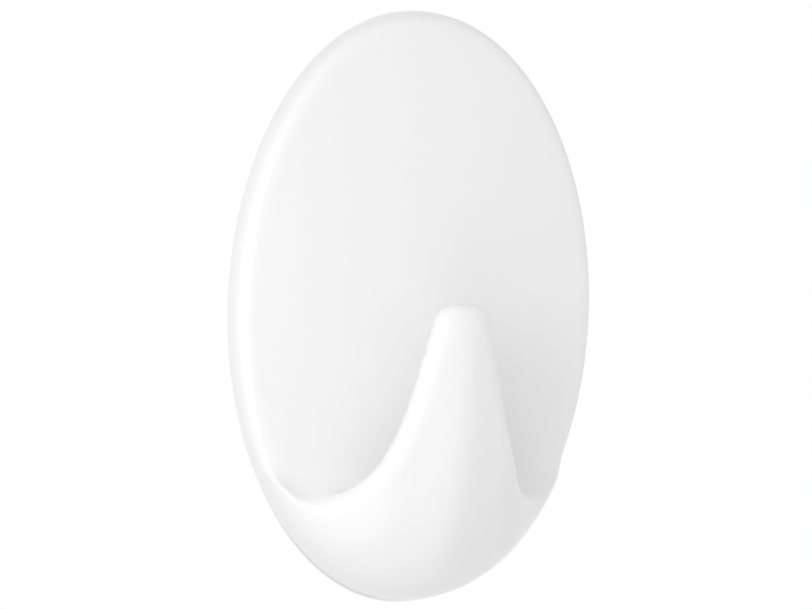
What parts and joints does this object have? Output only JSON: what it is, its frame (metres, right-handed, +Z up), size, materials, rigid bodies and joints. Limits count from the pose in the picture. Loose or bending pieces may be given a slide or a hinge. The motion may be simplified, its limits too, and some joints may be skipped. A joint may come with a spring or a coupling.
{
  "type": "adhesive wall hook",
  "caption": "Oval moulded wall hook whose lower edge sweeps forward and up into a tapered tongue, hung on a hidden carrier plate that a stretch-release adhesive strip holds to the wall.",
  "frame": {"origin": "on the wall, behind the middle of the oval cover", "axes": "+X across the wall to the viewer's right, +Y into the wall, +Z up the wall"},
  "size_m": [0.046, 0.0176, 0.07],
  "materials": {
    "cover_plastic": "glossy white moulding",
    "plate_plastic": "satin white moulding",
    "strip_core": "matt white foam",
    "adhesive": "smooth, slightly milky",
    "tab_film": "smooth white film"
  },
  "bodies": {
    "carrier": {"base_plate": "plate_plastic", "strip_core": "strip_core", "strip_wall_adhesive": "adhesive", "strip_plate_adhesive": "adhesive", "tab_film_front": "tab_film", "tab_film_rear": "tab_film"},
    "cover": {"hook_shell": "cover_plastic"}
  },
  "joints": [
    {"name": "hook_lift", "type": "slide", "parent": "carrier", "child": "cover", "axis": [0, 0, 1], "range_m": [0, 0.008]}
  ]
}
